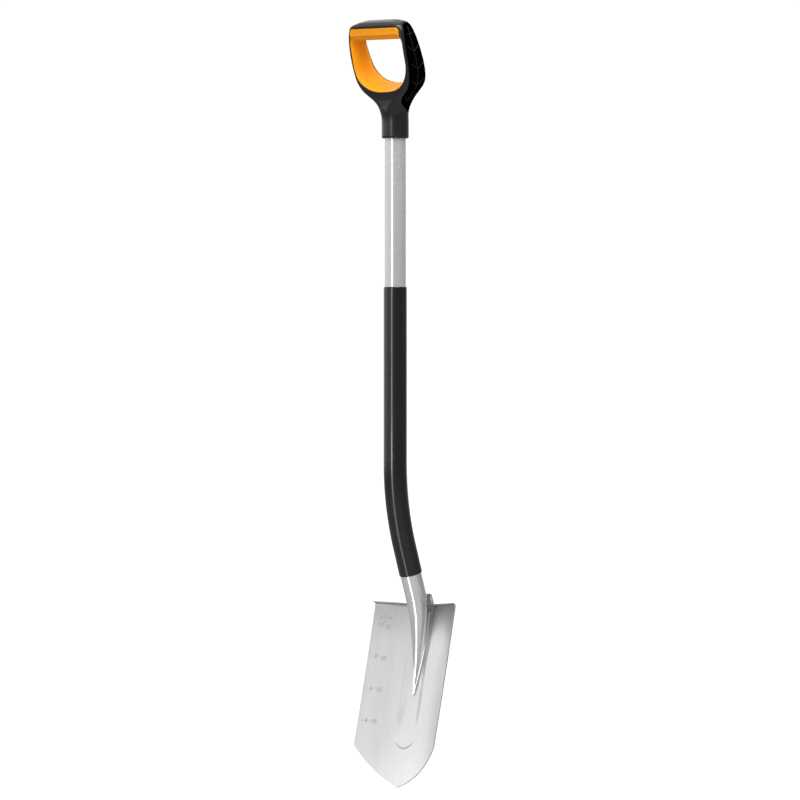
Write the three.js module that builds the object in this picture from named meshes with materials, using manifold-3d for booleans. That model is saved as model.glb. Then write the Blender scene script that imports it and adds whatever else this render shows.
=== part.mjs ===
// Long-handled pointed digging shovel with a D-grip, in millimetres.
// +Z is up, -Y is the hollow face of the blade, and the origin is where the crossbar is hung.
import * as THREE from "three";
import { mergeVertices } from "three/addons/utils/BufferGeometryUtils.js";
import Module from "manifold-3d";

const wasm = await Module();
wasm.setup();

// Driving dimensions. Heights are below the front lower edge of the crossbar.
const GAP = 0.3;
const SHAFT = { radius: 16.5, wall: 1.6, top: -100.5, bendStart: -655, neckEnd: -862, toeRadius: 2.2 };
const BEND = { radius: 420, turn: 18, neckRadius: 130, toeRadius: 540, toeTurn: 12 };
const SLEEVE = { radius: 18, top: -382, bottom: -827, round: 1.2 };
const COLLAR = { radius: 21.1, bottom: -152, round: 3, rim: 1.3 };
const BLADE = { half: 87, tread: -880.4, corner: -1094, tip: -1158, thick: 2, arcRadius: 170, tipArc: 171 };
const LEAN = { topY: 67.4, drop: 58, curve: 5.6, topZ: -873 };
const CHANNEL = {
  half: 20.6, topDepth: 5, endDepth: 3, endZ: -1099, endRise: 11, flatTop: 6, flatEnd: 14, edgeTop: 26, edgeEnd: 24,
};
const TREAD = { bendRadius: 3.5, lip: 2.4, rise: 3.5, inner: 27, tongue: 15, tongueLength: 22 };
const TONGUE = { radius: 42, turn: 30 };
const GRIP = { tilt: 15, axisY: -25, barUnder: 2.6, sideHeight: -28, halfWidth: 54, depthBelow: 46 };
const MOUTH = { start: 4, depth: 14, ahead: 1.2, behind: 1, barRound: 8, barFrom: 9, lip: 1.7 };
const LINING = {
  thick: 2.8, corner: 8, flare: 0.075, drop: 0.12, bandTop: 17, bandBackTop: 15, bandHalf: 53, bandRound: 6,
  bandLow: -8, frontY: -30, stepY: -22, farFront: -70, farBack: 20,
};
const PANEL = { thick: 1.6, clear: 0.6, inner: 19, outer: 80 };
const SCREW = { z: -128, head: 4, headHeight: 1.6, shank: 2, reach: 8 };
const WELD = { radius: 2.2, start: 6, past: 1.5, aside: 0.5, toe: 1.2, reach: 0.9, top: -860, bottom: -1040 };
const HANG = { y: 25.7, z: -2.5 };
const ROUND = 32;

const radians = THREE.MathUtils.degToRad;
const blend = (from, to, amount) => from + (to - from) * amount;
const ease = (low, high, value) => THREE.MathUtils.smoothstep(value, low, high);

// ---- closed meshes and booleans ----

function merged(geometry) {
  const bare = geometry.clone();
  bare.deleteAttribute("normal");
  bare.deleteAttribute("uv");
  const joined = mergeVertices(bare, 1e-4);
  const index = joined.index.array;
  const kept = [];
  for (let i = 0; i < index.length; i += 3) {
    const [a, b, c] = [index[i], index[i + 1], index[i + 2]];
    if (a !== b && b !== c && c !== a) kept.push(a, b, c);
  }
  joined.setIndex(kept);
  return signedVolume(joined) < 0 ? flipped(joined) : joined;
}

function signedVolume(geometry) {
  const corner = [0, 1, 2].map(() => new THREE.Vector3());
  const index = geometry.index.array;
  let volume = 0;
  for (let i = 0; i < index.length; i += 3) {
    corner.forEach((point, k) => point.fromBufferAttribute(geometry.attributes.position, index[i + k]));
    volume += corner[0].dot(corner[1].clone().cross(corner[2])) / 6;
  }
  return volume;
}

function flipped(geometry) {
  const index = Array.from(geometry.index.array);
  for (let i = 0; i < index.length; i += 3) [index[i], index[i + 1]] = [index[i + 1], index[i]];
  geometry.setIndex(index);
  return geometry;
}

function solid(geometry) {
  const closed = merged(geometry);
  return new wasm.Manifold(new wasm.Mesh({
    numProp: 3,
    vertProperties: new Float32Array(closed.attributes.position.array),
    triVerts: new Uint32Array(closed.index.array),
  }));
}

const mirrored = (body) => body.mirror([1, 0, 0]);

function largest(body) {
  return body.decompose().reduce((best, piece) => (piece.volume() > best.volume() ? piece : best));
}

function surface(body) {
  const mesh = body.getMesh();
  const geometry = new THREE.BufferGeometry();
  geometry.setAttribute("position", new THREE.BufferAttribute(mesh.vertProperties, 3));
  geometry.setIndex(new THREE.BufferAttribute(mesh.triVerts, 1));
  return geometry;
}

function displace(geometry, move) {
  const position = geometry.attributes.position;
  const point = new THREE.Vector3();
  for (let i = 0; i < position.count; i++) {
    move(point.fromBufferAttribute(position, i), i);
    position.setXYZ(i, point.x, point.y, point.z);
  }
  return geometry;
}

// ---- the shaft's centre line: stretches of a planar path, each straight or an arc ----

const straightLength = SHAFT.top - SHAFT.bendStart;
const bendDrop = BEND.radius * Math.sin(radians(BEND.turn));
const neckLength = (SHAFT.bendStart - bendDrop - SHAFT.neckEnd) / Math.cos(radians(BEND.turn));
const STRETCHES = [
  { length: straightLength, turn: 0 },
  { length: BEND.radius * radians(BEND.turn), turn: radians(BEND.turn) },
  { length: neckLength, turn: 0 },
  { length: BEND.neckRadius * radians(BEND.turn), turn: -radians(BEND.turn) },
  { length: BEND.toeRadius * radians(BEND.toeTurn), turn: -radians(BEND.toeTurn) },
];
const SHAFT_LENGTH = STRETCHES.reduce((sum, stretch) => sum + stretch.length, 0);
const TAPER_START = SHAFT_LENGTH - STRETCHES[4].length - BEND.neckRadius * radians(BEND.turn) * 0.55;

function shaftAt(distance) {
  let [y, z, angle, left] = [0, SHAFT.top, 0, distance];
  for (const { length, turn } of STRETCHES) {
    const run = Math.min(left, length);
    const turned = turn * run / length;
    const chord = turned === 0 ? run : run * Math.sin(turned / 2) / (turned / 2);
    y += chord * Math.sin(angle + turned / 2);
    z -= chord * Math.cos(angle + turned / 2);
    angle += turned;
    left -= run;
    if (left <= 0) break;
  }
  return { y, z, angle };
}

function alongShaft(geometry) {
  return displace(geometry, (point) => {
    const { y, z, angle } = shaftAt(point.y);
    const aside = point.z;
    point.set(point.x, y + aside * Math.cos(angle), z + aside * Math.sin(angle));
  });
}

function shaftRadius(distance) {
  const amount = THREE.MathUtils.clamp((distance - TAPER_START) / (SHAFT_LENGTH - TAPER_START), 0, 1);
  return blend(SHAFT.radius, SHAFT.toeRadius, amount);
}

function shaftSteps(from, to) {
  const steps = [from];
  let start = 0;
  for (const { length, turn } of STRETCHES) {
    const count = turn === 0 ? 1 : 8;
    for (let k = 1; k <= count; k++) {
      const at = start + length * k / count;
      if (at > from + 1 && at < to - 1) steps.push(at);
    }
    start += length;
  }
  return [...steps, to];
}

// ---- the blade: a curved sheet with a lean, a centre channel, treads and a tongue ----

const sagAt = (x) => BLADE.arcRadius - Math.sqrt(BLADE.arcRadius ** 2 - x * x);

function channelAt(x, z) {
  const low = (LEAN.topZ - z) / (LEAN.topZ - CHANNEL.endZ);
  const depth = blend(CHANNEL.topDepth, CHANNEL.endDepth, THREE.MathUtils.clamp(low, 0, 1));
  const flat = blend(CHANNEL.flatTop, CHANNEL.flatEnd, low);
  const side = 1 - ease(flat, blend(CHANNEL.edgeTop, CHANNEL.edgeEnd, low), Math.abs(x));
  const floor = CHANNEL.endZ + CHANNEL.endRise * (x / CHANNEL.half) ** 2;
  return depth * side * ease(floor - 0.5, floor + 3, z);
}

function frontAt(x, z) {
  const low = (LEAN.topZ - z) / (LEAN.topZ - BLADE.tip);
  return LEAN.topY - LEAN.drop * low - LEAN.curve * low * low - sagAt(x) + channelAt(x, z);
}

function tipAt(x) {
  const chordAngle = Math.atan2(BLADE.corner - BLADE.tip, BLADE.half);
  const chord = Math.hypot(BLADE.corner - BLADE.tip, BLADE.half);
  const centreTurn = Math.acos(chord / 2 / BLADE.tipArc);
  const centreX = BLADE.tipArc * Math.cos(chordAngle + centreTurn);
  const centreZ = BLADE.tip + BLADE.tipArc * Math.sin(chordAngle + centreTurn);
  return centreZ - Math.sqrt(BLADE.tipArc ** 2 - (Math.abs(x) - centreX) ** 2);
}

function foldPoint(x, height) {
  const z = BLADE.tread + TREAD.rise * Math.max(0, Math.abs(x) - TREAD.inner) / (BLADE.half - TREAD.inner);
  const wing = ease(TREAD.tongue, TREAD.inner, Math.abs(x));
  const lean = Math.atan(frontAt(x, z) - frontAt(x, z - 1));
  const turn = blend(radians(TONGUE.turn), lean + Math.PI / 2, wing);
  const radius = blend(TONGUE.radius, TREAD.bendRadius, Math.sqrt(wing));
  const flat = blend(0, TREAD.lip, wing);
  const length = blend(Math.min(radius * turn, TREAD.tongueLength), radius * turn + flat, wing);
  const run = length * height;
  const bent = Math.min(run / radius, turn);
  const rest = run - bent * radius;
  const up = radius * Math.sin(bent) + rest * Math.cos(bent);
  const ahead = radius * (1 - Math.cos(bent)) + rest * Math.sin(bent);
  const y = frontAt(x, z) + up * Math.sin(lean) - ahead * Math.cos(lean);
  return new THREE.Vector3(x, y, z + up * Math.cos(lean) + ahead * Math.sin(lean));
}

function sheetPoint(x, down) {
  const top = foldPoint(x, 0).z;
  if (down < 0) return foldPoint(x, -down);
  const z = blend(top, tipAt(x), down);
  return new THREE.Vector3(x, frontAt(x, z), z);
}

function sheetNormal(x, down) {
  const step = 0.004;
  const side = Math.abs(x) < BLADE.half - 1 ? 0.5 : -0.5 * Math.sign(x);
  const along = sheetPoint(x + side, down).sub(sheetPoint(x, down)).multiplyScalar(Math.sign(side));
  const below = sheetPoint(x, Math.min(down + step, 1)).sub(sheetPoint(x, Math.max(down - step, -1)));
  return along.cross(below).normalize();
}

function sheet({ half, topDown, front, back, columns, rows, foldRows }) {
  const box = new THREE.BoxGeometry(2, 2, 1, columns, rows + foldRows, 1);
  return displace(box, (point) => {
    const row = Math.round((1 - point.y) / 2 * (rows + foldRows));
    const down = row < foldRows ? (row / foldRows - 1) * -topDown : (row - foldRows) / rows;
    const x = point.x * half;
    const normal = sheetNormal(x, down);
    const offset = point.z > 0 ? -front : back;
    point.copy(sheetPoint(x, down).addScaledVector(normal, offset));
  });
}

const bladeSheet = (front, back) => sheet({
  half: BLADE.half, topDown: -1, front, back, columns: 40, rows: 26, foldRows: 7,
});
const bladeBacking = (front, back) => sheet({
  half: 45, topDown: 0, front, back, columns: 30, rows: 26, foldRows: 0,
});

// ---- the grip: rounded sections stacked from the crossbar down to the collar ----

const STATIONS = [
  { z: 29.7, y: -37.8, w: 18, d: 6, r: 5, tilt: 15 },
  { z: 29.3, y: -37.7, w: 30, d: 9.5, r: 7, tilt: 15 },
  { z: 28.1, y: -37.6, w: 40, d: 12, r: 8, tilt: 15 },
  { z: 25.8, y: -37.2, w: 50, d: 14.2, r: 9, tilt: 15 },
  { z: 22, y: -35.2, w: 55.7, d: 15.2, r: 9, tilt: 15 },
  { z: 14, y: -32.2, w: 59.4, d: 15.8, r: 8, tilt: 15 },
  { z: 0, y: -27.8, w: 61.8, d: 17, r: 7, tilt: 15 },
  { z: -17, y: -22.3, w: 63, d: 18.5, r: 7, tilt: 15 },
  { z: -36, y: -15.9, w: 62, d: 20.4, r: 7, tilt: 15 },
  { z: -50, y: -11.4, w: 59.8, d: 21.8, r: 7, tilt: 15 },
  { z: -60, y: -8.3, w: 57, d: 22.6, r: 7, tilt: 15 },
  { z: -68, y: -5.4, w: 54, d: 22.5, r: 8, tilt: 14.6 },
  { z: -75, y: -4, w: 48.8, d: 22.3, r: 9, tilt: 14 },
  { z: -82, y: -2.8, w: 41, d: 22, r: 11, tilt: 12.6 },
  { z: -88, y: -2, w: 34, d: 21.8, r: 13, tilt: 11 },
  { z: -94, y: -1.8, w: 28.8, d: 21.6, r: 15, tilt: 8.5 },
  { z: -101, y: -1.7, w: 25, d: 21.3, r: 18, tilt: 5 },
  { z: -108, y: -1.8, w: 22.8, d: 21.2, r: 20, tilt: 2 },
  { z: -114, y: -1.2, w: 21.6, d: 21.2, r: 21, tilt: 0 },
  { z: -120, y: -0.4, w: 21.2, d: 21.1, r: 21, tilt: 0 },
  { z: -126, y: 0, w: COLLAR.radius, d: COLLAR.radius, r: COLLAR.radius, tilt: 0 },
  ...[[COLLAR.round, 0], [COLLAR.round / 3, COLLAR.rim / 3], [0, COLLAR.rim]].map(([up, inward]) => ({
    z: COLLAR.bottom + up, y: 0, w: COLLAR.radius - inward, d: COLLAR.radius - inward,
    r: COLLAR.radius - inward, tilt: 0,
  })),
];

function gripBody(aside = 0, ahead = aside) {
  const last = STATIONS.length - 1;
  const stack = new THREE.CylinderGeometry(1, 1, 1, 40, last, false, Math.PI / 40);
  return displace(stack, (point) => {
    const { z, y, w, d, r, tilt } = STATIONS[Math.round((0.5 - point.y) * last)];
    const reach = Math.hypot(point.x, point.z);
    const [width, depth] = [w - aside, d - ahead];
    const corner = Math.max(Math.min(r - Math.min(aside, ahead), width, depth), 1);
    const across = reach * (Math.sign(point.x) * (width - corner) + point.x * corner);
    const deep = reach * (Math.sign(point.z) * (depth - corner) + point.z * corner);
    const lean = radians(tilt);
    point.set(across, y + deep * Math.cos(lean), z + deep * Math.sin(lean));
  });
}

// How much wider the soft edge of the opening is, this deep from the middle of the grip.
function mouthAt(deep) {
  const rise = (from) => THREE.MathUtils.clamp(from / MOUTH.depth, 0, 1) ** 1.5;
  return MOUTH.ahead * rise(-deep - MOUTH.start) + MOUTH.behind * rise(deep - MOUTH.start);
}

// How far the bar's lower front edge is rounded up, this deep from the middle of the grip.
function barEdgeAt(deep) {
  const along = THREE.MathUtils.clamp(-deep - MOUTH.barFrom, 0, MOUTH.barRound);
  return MOUTH.barRound - Math.sqrt(MOUTH.barRound ** 2 - along * along);
}

function holeOutline(grow) {
  const outline = new THREE.Shape();
  const half = GRIP.halfWidth + grow;
  const top = GRIP.barUnder + grow;
  const round = LINING.corner + grow;
  outline.moveTo(-half, GRIP.sideHeight);
  outline.lineTo(-half, top - round);
  outline.absarc(-half + round, top - round, round, Math.PI, Math.PI / 2, true);
  outline.lineTo(half - round, top);
  outline.absarc(half - round, top - round, round, Math.PI / 2, 0, true);
  outline.lineTo(half, GRIP.sideHeight);
  outline.absellipse(0, GRIP.sideHeight, half, GRIP.depthBelow + grow, 0, -Math.PI, true);
  return outline;
}

function handHole(grow) {
  const depth = 66;
  const block = new THREE.ExtrudeGeometry(holeOutline(grow), {
    depth, steps: 20, bevelEnabled: false, curveSegments: 10,
  });
  const lean = radians(GRIP.tilt);
  return displace(block, (point) => {
    const deep = depth / 2 - point.z;
    const wider = grow === 0 ? mouthAt(deep) : 0;
    const below = Math.min(point.y - GRIP.sideHeight, 0);
    const upper = THREE.MathUtils.clamp((point.y - GRIP.sideHeight) / (GRIP.barUnder - GRIP.sideHeight), 0, 1);
    const across = point.x * (1 + wider / GRIP.halfWidth) * (1 - LINING.flare * deep / GRIP.halfWidth);
    const lower = below * (wider - LINING.drop * deep) / GRIP.depthBelow;
    const height = point.y + lower + upper ** 4 * barEdgeAt(deep);
    const y = GRIP.axisY + deep * Math.cos(lean) - height * Math.sin(lean);
    point.set(across, y, height * Math.cos(lean) + deep * Math.sin(lean));
  });
}

// A block swept along X from an outline drawn in the Y-Z plane.
function sideBlock(outline, fromX, toX) {
  const block = new THREE.ExtrudeGeometry(outline, { depth: toX - fromX, bevelEnabled: false, curveSegments: 10 });
  return displace(block, (point) => point.set(fromX + point.z, point.x, point.y));
}

function bandOutline(grow) {
  const under = GRIP.barUnder + LINING.thick + 2 + grow;
  return new THREE.Shape([
    [LINING.farFront, LINING.bandTop + grow], [LINING.frontY, LINING.bandTop + grow],
    [LINING.frontY, under], [LINING.stepY, under], [LINING.stepY, LINING.bandBackTop + grow],
    [LINING.farBack, LINING.bandBackTop + grow], [LINING.farBack, LINING.bandLow],
    [LINING.farFront, LINING.bandLow],
  ].map(([y, z]) => new THREE.Vector2(y, z)));
}

// The band seen from the front: its upper corners are round.
function bandFace(grow) {
  const [half, top, round] = [LINING.bandHalf + grow, LINING.bandTop + grow, LINING.bandRound + grow];
  const outline = new THREE.Shape();
  outline.moveTo(-half, LINING.bandLow);
  outline.absarc(-half + round, top - round, round, Math.PI, Math.PI / 2, true);
  outline.absarc(half - round, top - round, round, Math.PI / 2, 0, true);
  outline.lineTo(half, LINING.bandLow);
  const depth = LINING.farBack - LINING.farFront;
  const block = new THREE.ExtrudeGeometry(outline, { depth, bevelEnabled: false, curveSegments: 6 });
  return displace(block, (point) => point.set(point.x, LINING.farFront + point.z, point.y));
}

function crossbarBand(grow) {
  const half = LINING.bandHalf + grow;
  return solid(sideBlock(bandOutline(grow), -half, half)).intersect(solid(bandFace(grow)));
}

function gripLining() {
  const body = solid(gripBody());
  const ring = solid(handHole(LINING.thick)).intersect(solid(gripBody(0, MOUTH.lip)));
  const skin = body.subtract(solid(gripBody(LINING.thick))).intersect(crossbarBand(0));
  return ring.add(skin).subtract(solid(handHole(0)));
}

function liningSeat() {
  const deepSkin = solid(gripBody(-2)).subtract(solid(gripBody(LINING.thick + GAP)));
  const ringSeat = solid(handHole(LINING.thick + GAP)).intersect(solid(gripBody(-2, MOUTH.lip - GAP)));
  return deepSkin.intersect(crossbarBand(GAP)).add(ringSeat).add(solid(handHole(0)));
}

// The leaf of the side panel, seen from the side: where each curve starts, and its bend.
const LEAF = [
  [-33, 24.5, -39.5, 22], [-39.6, 12, -40.8, -7], [-36.2, -23, -30, -46], [-24.5, -67, -22, -77],
  [-20, -85, -16, -97], [-6, -102, 3, -107], [9.5, -113, 15.5, -106], [17, -94, 18.6, -76],
  [15.5, -61, 11, -46], [3.5, -30, -7, -6], [-18, 19, -20.5, 25.5], [-26, 26, -30, 25.6],
];

function panelOutline(grow) {
  const leaf = new THREE.Shape();
  leaf.moveTo(LEAF[0][0], LEAF[0][1]);
  LEAF.forEach(([, , bendY, bendZ], i) => {
    const [endY, endZ] = LEAF[(i + 1) % LEAF.length];
    leaf.quadraticCurveTo(bendY, bendZ, endY, endZ);
  });
  const points = leaf.getPoints(6).slice(0, -1);
  const count = points.length;
  return new THREE.Shape(points.map((point, i) => {
    const along = points[(i + 1) % count].clone().sub(points[(i + count - 1) % count]).normalize();
    return point.clone().add(new THREE.Vector2(along.y, -along.x).multiplyScalar(grow));
  }));
}

function sidePanel(grow) {
  const outer = solid(gripBody(grow > 0 ? -2 : 0));
  const skin = outer.subtract(solid(gripBody(PANEL.thick + grow, -PANEL.clear)));
  const leaf = sideBlock(panelOutline(grow), PANEL.inner - grow, PANEL.outer);
  return largest(skin.intersect(solid(leaf)));
}

function barrel(radius, from, to) {
  const rod = new THREE.CylinderGeometry(radius, radius, to - from, ROUND);
  return rod.translate(0, (from + to) / 2, 0).rotateX(Math.PI / 2);
}

function handleShell() {
  const bore = barrel(SHAFT.radius + GAP, COLLAR.bottom - 5, SHAFT.top + GAP);
  return solid(gripBody())
    .subtract(liningSeat())
    .subtract(sidePanel(GAP))
    .subtract(mirrored(sidePanel(GAP)))
    .subtract(solid(bore))
    .subtract(screwSolid(GAP));
}

// ---- the fixing screw through the back of the collar ----

function screwProfile(grow) {
  const seat = COLLAR.radius - 0.8;
  return [
    new THREE.Vector2(0, seat - SCREW.reach - grow),
    new THREE.Vector2(SCREW.shank + grow, seat - SCREW.reach - grow),
    new THREE.Vector2(SCREW.shank + grow, seat - grow),
    new THREE.Vector2(SCREW.head + grow, seat - grow),
    new THREE.Vector2(SCREW.head + grow, seat + SCREW.headHeight * 0.5),
    new THREE.Vector2(SCREW.head * 0.6 + grow, seat + SCREW.headHeight + grow * 8),
    new THREE.Vector2(0, seat + SCREW.headHeight + grow * 8),
  ];
}

const screwSolid = (grow) => solid(new THREE.LatheGeometry(screwProfile(grow), 24).translate(0, 0, SCREW.z));

// ---- steel tube, sleeve and welds ----

function shaftTube() {
  const outer = shaftSteps(0, SHAFT_LENGTH).map((at) => new THREE.Vector2(shaftRadius(at), at));
  const bottom = SHAFT_LENGTH - 4;
  const inner = shaftSteps(0, bottom).map((at) => new THREE.Vector2(
    Math.max(shaftRadius(at) - SHAFT.wall, 0.6), at,
  )).reverse();
  const profile = [new THREE.Vector2(0, bottom), ...inner, ...outer, new THREE.Vector2(0, SHAFT_LENGTH)];
  return solid(alongShaft(new THREE.LatheGeometry(profile, ROUND)))
    .subtract(solid(bladeBacking(GAP, 30)))
    .subtract(screwSolid(GAP));
}

function gripSleeve() {
  const from = SHAFT.top - SLEEVE.top;
  const bottomDrop = SHAFT.bendStart - bendDrop - SLEEVE.bottom;
  const to = straightLength + STRETCHES[1].length + bottomDrop / Math.cos(radians(BEND.turn));
  const inner = SHAFT.radius + GAP;
  const outer = shaftSteps(from, to).map((at, i, all) => {
    const end = i === 0 || i === all.length - 1;
    return new THREE.Vector2(end ? SLEEVE.radius - SLEEVE.round : SLEEVE.radius, at);
  });
  outer.splice(1, 0, new THREE.Vector2(SLEEVE.radius, from + SLEEVE.round));
  outer.splice(outer.length - 1, 0, new THREE.Vector2(SLEEVE.radius, to - SLEEVE.round));
  const bore = shaftSteps(from, to).map((at) => new THREE.Vector2(inner, at)).reverse();
  return alongShaft(new THREE.LatheGeometry([...bore, ...outer, bore[0].clone()], ROUND));
}

class WeldLine extends THREE.Curve {
  getPoint(amount, target = new THREE.Vector3()) {
    const { y, z } = shaftAt(blend(TAPER_START + WELD.start, SHAFT_LENGTH + WELD.past, amount));
    const radius = shaftRadius(blend(TAPER_START + WELD.start, SHAFT_LENGTH, amount));
    const reach = radius * WELD.reach;
    const deep = THREE.MathUtils.clamp(frontAt(radius * 0.8, z) - 1 - y, -reach, reach);
    const x = Math.sqrt(radius * radius - deep * deep) + WELD.aside;
    return target.set(blend(x, WELD.toe, amount ** 6), frontAt(x, z) - 1, z);
  }
}

function shaftSolid(grow) {
  const outer = shaftSteps(SHAFT.top - SLEEVE.top, SHAFT_LENGTH)
    .map((at) => new THREE.Vector2(shaftRadius(at) + grow, at));
  const end = SHAFT_LENGTH + grow;
  const profile = [new THREE.Vector2(0, outer[0].y), ...outer, new THREE.Vector2(0, end)];
  return solid(alongShaft(new THREE.LatheGeometry(profile, ROUND)));
}

// The right-hand seam, short of the middle plane so that it clears its mirror image.
function weldSeam() {
  const bead = new THREE.Shape().absarc(0, 0, WELD.radius, 0, Math.PI * 2);
  const run = { steps: 28, bevelEnabled: false, curveSegments: 4, extrudePath: new WeldLine() };
  const keep = sideBlock(new THREE.Shape([
    new THREE.Vector2(0, WELD.top), new THREE.Vector2(100, WELD.top),
    new THREE.Vector2(100, WELD.bottom), new THREE.Vector2(0, WELD.bottom),
  ]), GAP / 2, 40);
  return largest(solid(new THREE.ExtrudeGeometry(bead, run))
    .intersect(solid(keep))
    .subtract(shaftSolid(GAP))
    .subtract(solid(bladeBacking(GAP, 30))));
}

// ---- the assembly ----

const finish = (color, roughness, metalness) => new THREE.MeshStandardMaterial({ color, roughness, metalness });
const STEEL = finish(0xd9dadc, 0.35, 0.9);
const PAINT = finish(0xc9cacb, 0.4, 0.5);
const BLACK = finish(0x2f2f30, 0.55, 0);
const PANEL_BLACK = finish(0x101011, 0.7, 0);
const ORANGE = finish(0xf59a2e, 0.6, 0);
const BEAD = finish(0xa9aaac, 0.5, 0.9);

const shovel = new THREE.Group();
shovel.position.set(0, HANG.y, HANG.z);

function place(name, geometry, material) {
  const mesh = new THREE.Mesh(geometry, material);
  mesh.name = name;
  shovel.add(mesh);
}

place("blade", merged(bladeSheet(0, BLADE.thick)), STEEL);
place("shaft_tube", surface(shaftTube()), PAINT);
place("weld_seam_left", surface(mirrored(weldSeam())), BEAD);
place("weld_seam_right", surface(weldSeam()), BEAD);
place("grip_sleeve", merged(gripSleeve()), BLACK);
place("handle_shell", surface(handleShell()), BLACK);
place("grip_lining", surface(gripLining()), ORANGE);
place("side_panel_left", surface(mirrored(sidePanel(0))), PANEL_BLACK);
place("side_panel_right", surface(sidePanel(0)), PANEL_BLACK);
place("handle_screw", surface(screwSolid(0)), STEEL);

const model = new THREE.Group();
model.add(shovel);

export default model;
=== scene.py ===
"""Long-handled pointed digging shovel with a D-grip: its detailed pieces, finishes and studio."""
import math

import bmesh
import bpy
import numpy as np
from bpy.props import FloatProperty, FloatVectorProperty, PointerProperty
from mathutils import Matrix, Vector
from mathutils.bvhtree import BVHTree


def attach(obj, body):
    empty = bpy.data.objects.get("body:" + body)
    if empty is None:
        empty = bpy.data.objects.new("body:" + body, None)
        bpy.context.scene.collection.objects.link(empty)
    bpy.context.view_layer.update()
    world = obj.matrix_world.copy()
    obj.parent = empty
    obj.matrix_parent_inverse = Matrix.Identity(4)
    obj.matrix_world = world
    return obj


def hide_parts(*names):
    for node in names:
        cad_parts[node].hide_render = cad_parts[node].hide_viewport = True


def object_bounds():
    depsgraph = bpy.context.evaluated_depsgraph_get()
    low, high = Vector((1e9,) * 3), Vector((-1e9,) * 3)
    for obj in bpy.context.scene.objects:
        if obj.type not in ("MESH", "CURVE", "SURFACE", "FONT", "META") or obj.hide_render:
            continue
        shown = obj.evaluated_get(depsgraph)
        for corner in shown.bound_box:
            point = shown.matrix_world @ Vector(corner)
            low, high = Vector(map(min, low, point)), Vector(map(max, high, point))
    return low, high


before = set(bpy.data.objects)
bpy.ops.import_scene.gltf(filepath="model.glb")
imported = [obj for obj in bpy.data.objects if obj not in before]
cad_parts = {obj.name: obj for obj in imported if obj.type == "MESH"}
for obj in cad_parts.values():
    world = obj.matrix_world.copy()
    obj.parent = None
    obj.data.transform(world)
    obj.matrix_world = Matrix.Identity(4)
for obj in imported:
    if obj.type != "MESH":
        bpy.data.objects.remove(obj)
CAD_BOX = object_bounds()

bl_info = {
    "name": "Digging shovel",
    "version": (1, 0, 0),
    "blender": (4, 5, 0),
    "location": "3D View > Sidebar > Shovel",
    "description": "Builds the pieces, finishes and studio of a pointed digging shovel",
    "category": "Object",
}

# Shapes are worked out in millimetres below the crossbar's lower edge, then moved into the frame.
MM = 0.001
HANG = Vector((0, 25.7, -2.5))
TO_FRAME = Matrix.Scale(MM, 4) @ Matrix.Translation(HANG)
PIECES = "Shovel pieces"


# ---- small tools ----

def ease(low, high, value):
    """0 below low, 1 above high, and smooth between them."""
    amount = np.clip((value - low) / (high - low), 0, 1)
    return amount * amount * (3 - 2 * amount)


def blend(start, end, amount):
    return start + (end - start) * amount


def moved(bm, place):
    """Puts each vertex of a flat grid (x and y from 0 to 1) where place(u, v) says, all at once."""
    flat = np.array([v.co[:2] for v in bm.verts]) * 0.5 + 0.5
    spots = place(flat[:, 0], flat[:, 1])
    for vert, spot in zip(bm.verts, spots):
        vert.co = spot
    return bm


def grid(columns, rows, place, weld=1e-4):
    """A surface shaped from a grid, with its meeting edges and poles closed."""
    bm = bmesh.new()
    bmesh.ops.create_grid(bm, x_segments=columns, y_segments=rows, size=1)
    moved(bm, place)
    if weld:
        bmesh.ops.remove_doubles(bm, verts=bm.verts, dist=weld)
        bmesh.ops.dissolve_degenerate(bm, edges=bm.edges, dist=weld)
        bmesh.ops.recalc_face_normals(bm, faces=bm.faces)
    return bm


def add_piece(name, bm, material, replaces=(), smooth_angle=40):
    bmesh.ops.transform(bm, matrix=TO_FRAME, verts=bm.verts)
    mesh = bpy.data.meshes.new(name)
    bm.to_mesh(mesh)
    bm.free()
    mesh.shade_smooth()
    mesh.set_sharp_from_angle(angle=math.radians(smooth_angle))
    piece = bpy.data.objects.new(name, mesh)
    collection().objects.link(piece)
    mesh.materials.append(material)
    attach(piece, "root")
    if replaces:
        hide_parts(*replaces)
    return piece


def collection():
    found = bpy.data.collections.get(PIECES)
    if found is None:
        found = bpy.data.collections.new(PIECES)
        bpy.context.scene.collection.children.link(found)
    return found


def loose_object(name, bm):
    """An object made straight from a shape, such as one that a modifier reads."""
    mesh = bpy.data.meshes.new(name)
    bm.to_mesh(mesh)
    bm.free()
    helper = bpy.data.objects.new(name, mesh)
    bpy.context.scene.collection.objects.link(helper)
    return helper


def evaluated(helper):
    """The helper's shape with its modifiers applied, as a bmesh; the helper object is removed."""
    bpy.context.view_layer.update()
    done = helper.evaluated_get(bpy.context.evaluated_depsgraph_get())
    bm = bmesh.new()
    bm.from_mesh(done.to_mesh())
    done.to_mesh_clear()
    bpy.data.objects.remove(helper)
    return bm


def with_modifiers(helper):
    """The shape of a mesh helper with its modifiers applied; its mesh is removed too."""
    mesh = helper.data
    bm = evaluated(helper)
    bpy.data.meshes.remove(mesh)
    return bm


CUT, KEEP, JOIN = "DIFFERENCE", "INTERSECT", "UNION"


def carved(base, steps):
    """Carves a closed shape with others in order; each step is an operation and a bmesh."""
    for operation, tool in steps:
        body = loose_object("carved_body", base)
        knife = loose_object("carving_tool", tool)
        modifier = body.modifiers.new("Carve", "BOOLEAN")
        modifier.operation = operation
        modifier.solver = "EXACT"
        modifier.object = knife
        base = with_modifiers(body)
        mesh = knife.data
        bpy.data.objects.remove(knife)
        bpy.data.meshes.remove(mesh)
    return base


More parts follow.
